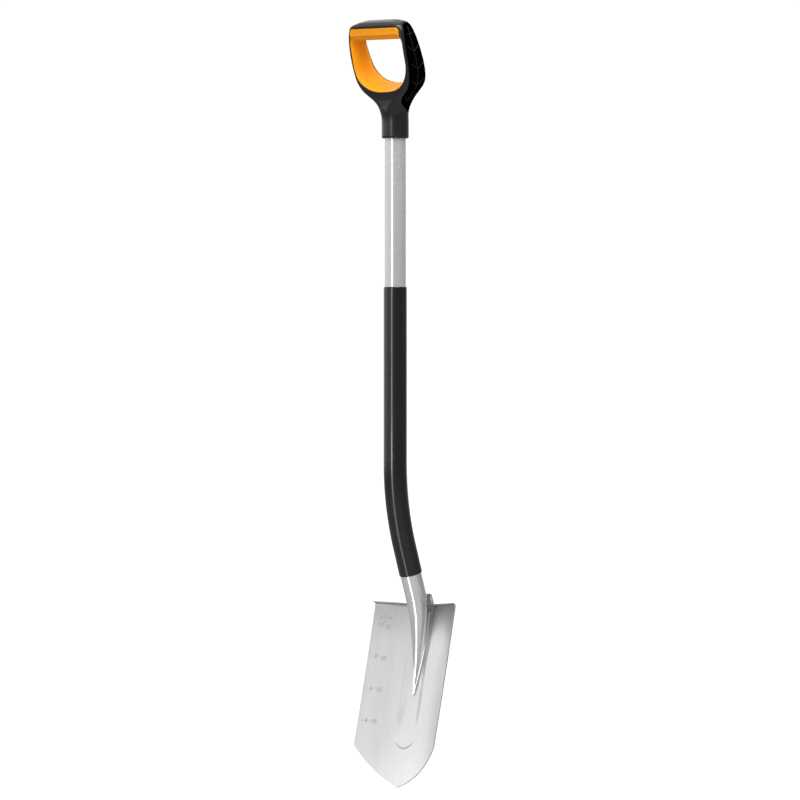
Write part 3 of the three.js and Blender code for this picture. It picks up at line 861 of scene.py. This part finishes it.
def text_shape(words, size):
    """Flat lettering as a mesh, centred, in millimetres."""
    curve = bpy.data.curves.new("mark_text", "FONT")
    curve.body = words
    curve.size = size
    curve.align_x = "CENTER"
    curve.align_y = "BOTTOM_BASELINE"
    curve.resolution_u = 3
    curve.offset = MARK_BOLD
    helper = bpy.data.objects.new("mark_text", curve)
    bpy.context.scene.collection.objects.link(helper)
    bm = evaluated(helper)
    bpy.data.curves.remove(curve)
    return bm


def bar_shape(width, height):
    bm = bmesh.new()
    bmesh.ops.create_grid(bm, x_segments=4, y_segments=4, size=0.5)
    bmesh.ops.scale(bm, vec=(width, height, 1), verts=bm.verts)
    return bm


def on_blade(bm, x, depth, raised):
    """Lays a flat shape on the blade's face with its base at a depth from the tip."""
    slope = math.cos(BLADE_LEAN)
    long_edges = [e for e in bm.edges if e.calc_length() > MARK_STEP]
    bmesh.ops.subdivide_edges(bm, edges=long_edges, cuts=1)
    bmesh.ops.triangulate(bm, faces=bm.faces)
    made = bmesh.ops.extrude_face_region(bm, geom=bm.faces[:])["geom"]
    top = {v for v in made if isinstance(v, bmesh.types.BMVert)}
    for vert in bm.verts:
        px, pz = x + vert.co.x, BLADE_TIP + (depth + vert.co.y) * slope
        lift = raised if vert in top else -MARK_ROOT
        vert.co = (px, front_at(px, pz) - lift, pz)
    bmesh.ops.recalc_face_normals(bm, faces=bm.faces)
    return bm


def joined(shapes):
    """Several bmeshes as one."""
    whole = bmesh.new()
    for bm in shapes:
        mesh = bpy.data.meshes.new("joined_part")
        bm.to_mesh(mesh)
        bm.free()
        whole.from_mesh(mesh)
        bpy.data.meshes.remove(mesh)
    return whole


class SHOVEL_OT_depth_marks(bpy.types.Operator):
    """Stamp the depth scale in inches and centimetres on the blade"""
    bl_idname = "shovel.depth_marks"
    bl_label = "Depth marks"

    def execute(self, context):
        raised = settings().mark_height
        left, right = MARK_COLUMNS
        shapes = []
        for inches, inch_depth, centimetres, depth in MARK_ROWS:
            shapes.append(on_blade(text_shape(inches, MARK_SIZE), left, inch_depth, raised))
            shapes.append(on_blade(text_shape(centimetres, MARK_SIZE), right, depth, raised))
            for width, aside in TICKS if len(inches) == 1 else ():
                tick = bar_shape(width, TICK_THICK)
                shapes.append(on_blade(tick, left + aside, inch_depth + TICK_UP, raised))
        head = MARK_ROWS[-1][1] + HEAD_UP
        for unit, column in (("in", left), ("cm", right)):
            shapes.append(on_blade(text_shape(unit, MARK_SIZE * HEAD_SIZE), column, head, raised))
        aside, up = DIVIDER_SHIFT
        shapes.append(on_blade(bar_shape(*DIVIDER), (left + right) / 2 + aside, head + up, raised))
        add_piece(
            "depth_marks", joined(shapes), material("Stamped steel"),
            smooth_angle=50,
        )
        return {"FINISHED"}


SLEEVE_RADIUS, SLEEVE_TOP, SLEEVE_BOTTOM, SLEEVE_ROUND, FIT = 18.0, -382.0, -827.0, 1.0, 0.3
PAINT_END = 420.0
SOCKET = (30.0, 60.0)  # the collar's bore, as distances along the shaft


def shaft_steps(start, end, step):
    return list(np.linspace(start, end, max(2, int((end - start) / step) + 1)))


class SHOVEL_OT_shaft(bpy.types.Operator):
    """Draw the steel tube: painted above the sleeve, lacquered where it tapers on to the blade"""
    bl_idname = "shovel.shaft"
    bl_label = "Shaft tube"

    def execute(self, context):
        upper = [(0, 0)] + [(TUBE_RADIUS, at) for at in shaft_steps(0, PAINT_END, 30)]
        upper += [(0, PAINT_END)]
        add_piece(
            "shaft_tube_painted", turned_along_shaft(upper), material("Silver paint"),
            ["shaft_tube"],
        )
        lower = [(0, PAINT_END)]
        lower += [(float(shaft_radius(at)), at) for at in shaft_steps(PAINT_END, SHAFT_LENGTH, 3)]
        lower += [(TOE_RADIUS * 0.7, SHAFT_LENGTH + 1), (0, SHAFT_LENGTH + 1.4)]
        add_piece(
            "shaft_tube_neck", turned_along_shaft(lower), material("Neck steel"),
            ["shaft_tube"],
        )
        return {"FINISHED"}


class SHOVEL_OT_sleeve(bpy.types.Operator):
    """Slide the plastic sleeve over the tube and its bend"""
    bl_idname = "shovel.sleeve"
    bl_label = "Grip sleeve"

    def execute(self, context):
        start = SHAFT_TOP - SLEEVE_TOP
        drop = BEND_START - BEND_DROP - SLEEVE_BOTTOM
        end = STRETCHES[0][0] + STRETCHES[1][0] + drop / math.cos(BEND_TURN)
        inner = TUBE_RADIUS + FIT
        outer = rounded_end(SLEEVE_RADIUS, start, SLEEVE_ROUND)
        outer += [(SLEEVE_RADIUS, at) for at in shaft_steps(start + 2, end - 2, 5)]
        outer += rounded_end(SLEEVE_RADIUS, end, -SLEEVE_ROUND)[::-1]
        bore = [(inner, at) for at in shaft_steps(start, end, 5)][::-1]
        add_piece(
            "grip_sleeve_skin", turned_along_shaft(outer + bore + outer[:1]),
            material("Sleeve plastic"), ["grip_sleeve"],
        )
        return {"FINISHED"}


class SHOVEL_OT_handle(bpy.types.Operator):
    """Mould the black shell of the D-grip with its collar"""
    bl_idname = "shovel.handle"
    bl_label = "Handle shell"

    def execute(self, context):
        skin = carved(band_block(SEAM), [
            (KEEP, grip_body(-PROUD, -PROUD)), (CUT, grip_body(LINING_THICK + SEAM)),
        ])
        within = grip_body(-PROUD, LIP - SEAM)
        seat = carved(hand_hole(LINING_THICK + SEAM), [(KEEP, within)])
        wide, (start, end) = TUBE_RADIUS + FIT, SOCKET
        bore = turned_along_shaft([(0, start), (wide, start), (wide, end), (0, end)])
        cutters = (skin, seat, hand_hole(0), side_panel(1, SEAM), side_panel(-1, SEAM), bore)
        shape = carved(grip_body(), [(CUT, cutter) for cutter in cutters])
        add_piece(
            "handle_shell_moulding", moulded(shape, 0.85, 6), material("Shell plastic"),
            ["handle_shell"], 80,
        )
        return {"FINISHED"}


class SHOVEL_OT_lining(bpy.types.Operator):
    """Mould the soft lining round the inside of the D and over the crossbar"""
    bl_idname = "shovel.lining"
    bl_label = "Grip lining"

    def execute(self, context):
        ring = carved(hand_hole(LINING_THICK), [(KEEP, grip_body(0, LIP))])
        band = carved(band_block(0), [(KEEP, grip_body()), (CUT, grip_body(LINING_THICK))])
        shape = carved(ring, [(JOIN, band), (CUT, hand_hole(0))])
        add_piece(
            "grip_lining_moulding", moulded(shape, 0.65, 6), material("Soft grip"),
            ["grip_lining"], 80,
        )
        return {"FINISHED"}


RIB_NODES = ((-31, 20), (-29.5, 5.3), (-21.6, -19.2), (-11, -46.2), (-4.7, -71.5), (-3.2, -93.8))
RIB_AHEAD, RIB_BEHIND, FIRST_RIB = (-15.0, 7.0), (11.5, 13.0), 0.45
RIB_STEP, RIB_INSET, RAY_FROM = 1.2, 1.2, 100


def rib_lines():
    """The panel's spine and the chevrons that rise from it, in the Y-Z plane."""
    lines = [list(RIB_NODES)]
    for at, (y, z) in enumerate(RIB_NODES[1:]):
        size = FIRST_RIB if at == 0 else 1.0
        lines.append([
            (y + size * RIB_AHEAD[0], z + size * RIB_AHEAD[1]), (y, z),
            (y + size * RIB_BEHIND[0], z + size * RIB_BEHIND[1]),
        ])
    return lines


def inside(point, outline):
    """Whether a point lies in a closed outline."""
    y, z = point
    hits = 0
    for (y0, z0), (y1, z1) in zip(outline, outline[1:] + outline[:1]):
        if (z0 > z) != (z1 > z) and y < y0 + (z - z0) * (y1 - y0) / (z1 - z0):
            hits += 1
    return hits % 2 == 1


def rib_shape(side, radius):
    """Thin raised ribs that follow the panel's face."""
    surface = BVHTree.FromBMesh(grip_body())
    outline = [tuple(p) for p in panel_outline(-RIB_INSET)]
    strips = []
    for line in rib_lines():
        spots = []
        for (y0, z0), (y1, z1) in zip(line, line[1:]):
            count = max(2, int(math.hypot(y1 - y0, z1 - z0) / RIB_STEP))
            spots += [(blend(y0, y1, k / count), blend(z0, z1, k / count)) for k in range(count)]
        spots.append(line[-1])
        run = []
        for y, z in spots:
            hit = surface.ray_cast((side * RAY_FROM, y, z), (-side, 0, 0))[0]
            if hit is not None and inside((y, z), outline):
                run.append(hit)
        if len(run) > 2:
            strips.append(rib_tube(run, radius))
    return joined(strips)


def rib_tube(run, radius):
    points = np.array([tuple(p) for p in run])
    heading = np.gradient(points, axis=0)
    heading /= np.linalg.norm(heading, axis=1)[:, None]
    sideways = np.cross(heading, (1.0, 0, 0))
    sideways /= np.linalg.norm(sideways, axis=1)[:, None]
    reaches = radius * np.array([0.0] + [1.0] * (len(points) - 2) + [0.0])
    return tube_along(points, reaches, sideways, np.cross(sideways, heading), around=8)


class SHOVEL_OT_side_panels(bpy.types.Operator):
    """Let the ribbed panels into both sides of the D"""
    bl_idname = "shovel.side_panels"
    bl_label = "Side panels"

    def execute(self, context):
        for word, side in (("left", -1), ("right", 1)):
            add_piece(
                f"side_panel_{word}_pad", moulded(side_panel(side, 0), 0.55, 3),
                material("Panel rubber"), [f"side_panel_{word}"], 80,
            )
            add_piece(
                f"side_panel_{word}_ribs", rib_shape(side, settings().rib_radius),
                material("Rib rubber"),
            )
        return {"FINISHED"}


WELD_RADIUS, WELD_START, WELD_RIPPLE, WELD_PITCH = 2.2, 6.0, 0.03, 0.55
WELD_PAST, WELD_ASIDE, WELD_TOE, WELD_FADE, WELD_LEAN = 1.5, 0.5, 0.6, 12, 0.22
WELD_SEAT, WELD_REACH = 0.8, 0.9  # shares of the tube's radius


def weld_shape(side, steps=150, around=16):
    """A bead with fine ripples along the seam between the tube's taper and the blade."""
    amounts = np.linspace(0, 1, steps + 1)
    spots = []
    for amount in amounts:
        at = blend(TAPER_START + WELD_START, SHAFT_LENGTH + WELD_PAST, amount)
        y, z, _ = shaft_at(at)
        radius = float(shaft_radius(min(at, SHAFT_LENGTH)))
        deep = front_at(radius * WELD_SEAT, z) - BLADE_THICK / 2 - y
        deep = max(-radius * WELD_REACH, min(radius * WELD_REACH, deep))
        x = math.sqrt(radius * radius - deep * deep) + WELD_ASIDE
        aside = side * blend(x, WELD_TOE, amount ** 6)
        spots.append((aside, front_at(x, z) - BLADE_THICK / 2, z))
    points = np.array(spots)
    size = WELD_RADIUS * (1 + WELD_RIPPLE * np.abs(np.sin(amounts * steps * WELD_PITCH)))
    size *= np.sqrt(np.clip(amounts * WELD_FADE, 0, 1))
    size *= np.sqrt(np.clip((1.04 - amounts) * WELD_FADE, 0, 1))
    size[0] = size[-1] = 0
    sideways, upward = (np.tile(way, (steps + 1, 1)) for way in ((1.0, 0, 0), (0, 1.0, WELD_LEAN)))
    return tube_along(points, size, sideways, upward, around)


class SHOVEL_OT_welds(bpy.types.Operator):
    """Run the weld seams down both sides of the taper"""
    bl_idname = "shovel.welds"
    bl_label = "Weld seams"

    def execute(self, context):
        for word, side in (("left", -1), ("right", 1)):
            add_piece(
                f"weld_bead_{word}", weld_shape(side), material("Weld metal"),
                [f"weld_seam_{word}"], 70,
            )
        return {"FINISHED"}


SCREW_Z, SCREW_HEAD, SCREW_HEIGHT, SCREW_SUNK, SCREW_DOME = -128.0, 4.0, 1.6, 0.8, 1.1
SCREW_SLOT = (SCREW_HEAD * 1.1, 0.9, 1.4)


class SHOVEL_OT_screw(bpy.types.Operator):
    """Drive the fixing screw into the back of the collar"""
    bl_idname = "shovel.screw"
    bl_label = "Handle screw"

    def execute(self, context):
        bm = bmesh.new()
        bmesh.ops.create_circle(bm, cap_ends=True, segments=48, radius=SCREW_HEAD)
        thickened(bm, (0, 0, SCREW_HEIGHT + SCREW_SUNK))
        top = max(bm.faces, key=lambda f: f.calc_center_median().z)
        bmesh.ops.bevel(bm, geom=list(top.edges), offset=SCREW_DOME, segments=6, profile=0.5,
                        affect="EDGES", material=-1)
        for turn in (0, math.pi / 2):
            slot = bmesh.new()
            bmesh.ops.create_cube(slot, size=1)
            bmesh.ops.scale(slot, vec=SCREW_SLOT, verts=slot.verts)
            bmesh.ops.rotate(
                slot, cent=(0, 0, 0), matrix=Matrix.Rotation(turn, 3, "Z"), verts=slot.verts,
            )
            bmesh.ops.translate(slot, vec=(0, 0, SCREW_HEIGHT + SCREW_SUNK), verts=slot.verts)
            bm = carved(bm, [(CUT, slot)])
        seat = Matrix.Translation((0, COLLAR_RADIUS - SCREW_SUNK, SCREW_Z))
        bmesh.ops.transform(bm, matrix=seat @ Matrix.Rotation(-math.pi / 2, 4, "X"), verts=bm.verts)
        add_piece(
            "handle_screw_head", bm, material("Screw zinc"), ["handle_screw"], 35,
        )
        return {"FINISHED"}


# ---- the studio ----

# The brightest part of the surroundings, as an angle from the view towards its right, and the
# levels from the side opposite it (0) to the bright side (1).
SKY_ANGLE, BACKDROP = -112, 1.02
SKY_LEVELS = ((0.0, 0.27), (0.25, 0.29), (0.4, 0.5), (0.6, 0.78), (0.85, 1.1), (1.0, 1.3))
# Each soft light's angle from the view towards its right, distance, height, size and power.
LIGHTS = {
    "Key strip": (-35, 9.0, 0.15, (1.1, 1.3), 52),
    "Top bank": (15, 1.4, 2.6, (2.2, 2.2), 95),
    "Grip fill": (30, 0.9, 0.3, (0.5, 0.5), 4.2),
    "Neck strip": (-35, 0.4, 0.0, (0.08, 0.55), 0.55),
}
GRIP_MIDDLE, NECK_MIDDLE = Vector((0, 0, -0.03)), Vector((0, 0.045, -0.88))
NECK_PIECES = ("shaft_tube_neck", "grip_sleeve_skin", "weld_bead_left", "weld_bead_right")
FLOOR_RADIUS, FLOOR_GAP = 30, 0.002
FLOOR_FINISH = {
    "Base Color": (0.35, 0.35, 0.35, 1), "Roughness": 0.9, "Specular IOR Level": 0.0,
    "Emission Color": (1, 1, 1, 1),
}
FLOOR_GLOW = {"To Min": 0.05, "To Max": 0.95}  # on the shovel, and as the camera sees it
CAMERA_DISTANCE, SENSOR, FARTHEST = 12.0, 36, 100
OFF_CENTRE, OFF_LEVEL = 0.0074, 0.0062


def area_light(name, aim):
    """One of the soft rectangular lights, turned to what it lights."""
    angle, distance, height, size, power = LIGHTS[name]
    data = bpy.data.lights.new(name, "AREA")
    data.shape = "RECTANGLE"
    data.size, data.size_y = size
    data.energy = power
    lamp = bpy.data.objects.new(name, data)
    bpy.context.scene.collection.objects.link(lamp)
    turn = math.radians(settings().azimuth + angle)
    away = Vector((math.sin(turn), -math.cos(turn), 0))
    lamp.location = aim + away * distance + Vector((0, 0, height))
    lamp.rotation_euler = (aim - lamp.location).to_track_quat("-Z", "Y").to_euler()
    return lamp


class SHOVEL_OT_stage(bpy.types.Operator):
    """Set the pale floor, the soft lights and the camera"""
    bl_idname = "shovel.stage"
    bl_label = "Studio"

    def execute(self, context):
        scene = context.scene
        scene.view_settings.view_transform = "Standard"
        low, high = CAD_BOX
        middle = Vector((0, HANG.y * MM, (low[2] + high[2]) / 2))
        self.floor(low[2])
        self.world(scene)
        self.lights(middle)
        self.camera(scene, middle)
        return {"FINISHED"}

    def lights(self, middle):
        area_light("Key strip", middle)
        area_light("Top bank", middle)
        area_light("Grip fill", GRIP_MIDDLE).visible_glossy = False
        strip = area_light("Neck strip", NECK_MIDDLE)
        strip.visible_camera = False
        lit = bpy.data.collections.new("Lit by the neck strip")
        for name in NECK_PIECES:
            lit.objects.link(bpy.data.objects[name])
        strip.light_linking.receiver_collection = lit

    def floor(self, level):
        bm = bmesh.new()
        bmesh.ops.create_circle(bm, cap_ends=True, segments=96, radius=FLOOR_RADIUS)
        bmesh.ops.translate(bm, vec=(0, 0, level - FLOOR_GAP), verts=bm.verts)
        floor = loose_object("Floor", bm)
        pale = bpy.data.materials.new("Pale floor")
        pale.use_nodes = True
        tree = pale.node_tree
        shader = tree.nodes["Principled BSDF"]
        set_inputs(shader, FLOOR_FINISH)
        seen, glow = add_node(tree, "LightPath"), add_node(tree, "MapRange", FLOOR_GLOW)
        wire(
            tree, (seen.outputs["Is Camera Ray"], glow.inputs["Value"]),
            (glow.outputs["Result"], shader.inputs["Emission Strength"]),
        )
        floor.data.materials.append(pale)

    def world(self, scene):
        world = bpy.data.worlds.new("Soft studio")
        scene.world = world
        world.use_nodes = True
        tree = world.node_tree
        back = tree.nodes["Background"]
        set_inputs(back, {"Color": (1, 1, 1, 1)})
        place, seen = add_node(tree, "TexCoord"), add_node(tree, "LightPath")
        turn = math.radians(settings().azimuth + SKY_ANGLE)
        bright = (math.sin(turn), -math.cos(turn), 0)
        facing = add_node(tree, "VectorMath", {1: bright}, operation="DOT_PRODUCT")
        part = add_node(tree, "MapRange", {"From Min": -1.0})
        shade = level_ramp(tree, SKY_LEVELS)
        pick = add_node(tree, "Mix", {"B": BACKDROP})
        wire(
            tree, (place.outputs["Generated"], facing.inputs[0]),
            (facing.outputs["Value"], part.inputs["Value"]),
            (part.outputs["Result"], shade.inputs["Fac"]),
            (seen.outputs["Is Camera Ray"], pick.inputs["Factor"]),
            (shade.outputs["Color"], pick.inputs["A"]),
            (pick.outputs["Result"], back.inputs["Strength"]),
        )

    def camera(self, scene, middle):
        data = bpy.data.cameras.new("Main view")
        camera = bpy.data.objects.new("Main view", data)
        scene.collection.objects.link(camera)
        turn = math.radians(settings().azimuth)
        right = Vector((math.cos(turn), math.sin(turn), 0))
        ahead = Vector((-math.sin(turn), math.cos(turn), 0))
        aim = middle + right * OFF_CENTRE + Vector((0, 0, OFF_LEVEL))
        camera.location = aim - ahead * CAMERA_DISTANCE
        camera.rotation_euler = ahead.to_track_quat("-Z", "Y").to_euler()
        data.sensor_width = SENSOR
        data.lens = data.sensor_width * CAMERA_DISTANCE / settings().view_height
        data.clip_end = FARTHEST
        scene.camera = camera


class SHOVEL_PT_panel(bpy.types.Panel):
    """Lists the steps that build the shovel"""
    bl_label = "Digging shovel"
    bl_idname = "SHOVEL_PT_panel"
    bl_space_type = "VIEW_3D"
    bl_region_type = "UI"
    bl_category = "Shovel"

    def draw(self, context):
        for name in ShovelSettings.__annotations__:
            self.layout.prop(context.scene.shovel, name)
        for step in STEPS:
            self.layout.operator(step.bl_idname)


STEPS = (
    SHOVEL_OT_blade, SHOVEL_OT_depth_marks, SHOVEL_OT_shaft, SHOVEL_OT_sleeve, SHOVEL_OT_welds,
    SHOVEL_OT_handle, SHOVEL_OT_lining, SHOVEL_OT_side_panels, SHOVEL_OT_screw, SHOVEL_OT_stage,
)
CLASSES = (ShovelSettings, *STEPS, SHOVEL_PT_panel)


def register():
    for cls in CLASSES:
        bpy.utils.register_class(cls)
    bpy.types.Scene.shovel = PointerProperty(type=ShovelSettings)


def unregister():
    del bpy.types.Scene.shovel
    for cls in reversed(CLASSES):
        bpy.utils.unregister_class(cls)


def main():
    register()
    for step in STEPS:
        group, name = step.bl_idname.split(".")
        getattr(getattr(bpy.ops, group), name)()


if __name__ == "__main__":
    main()
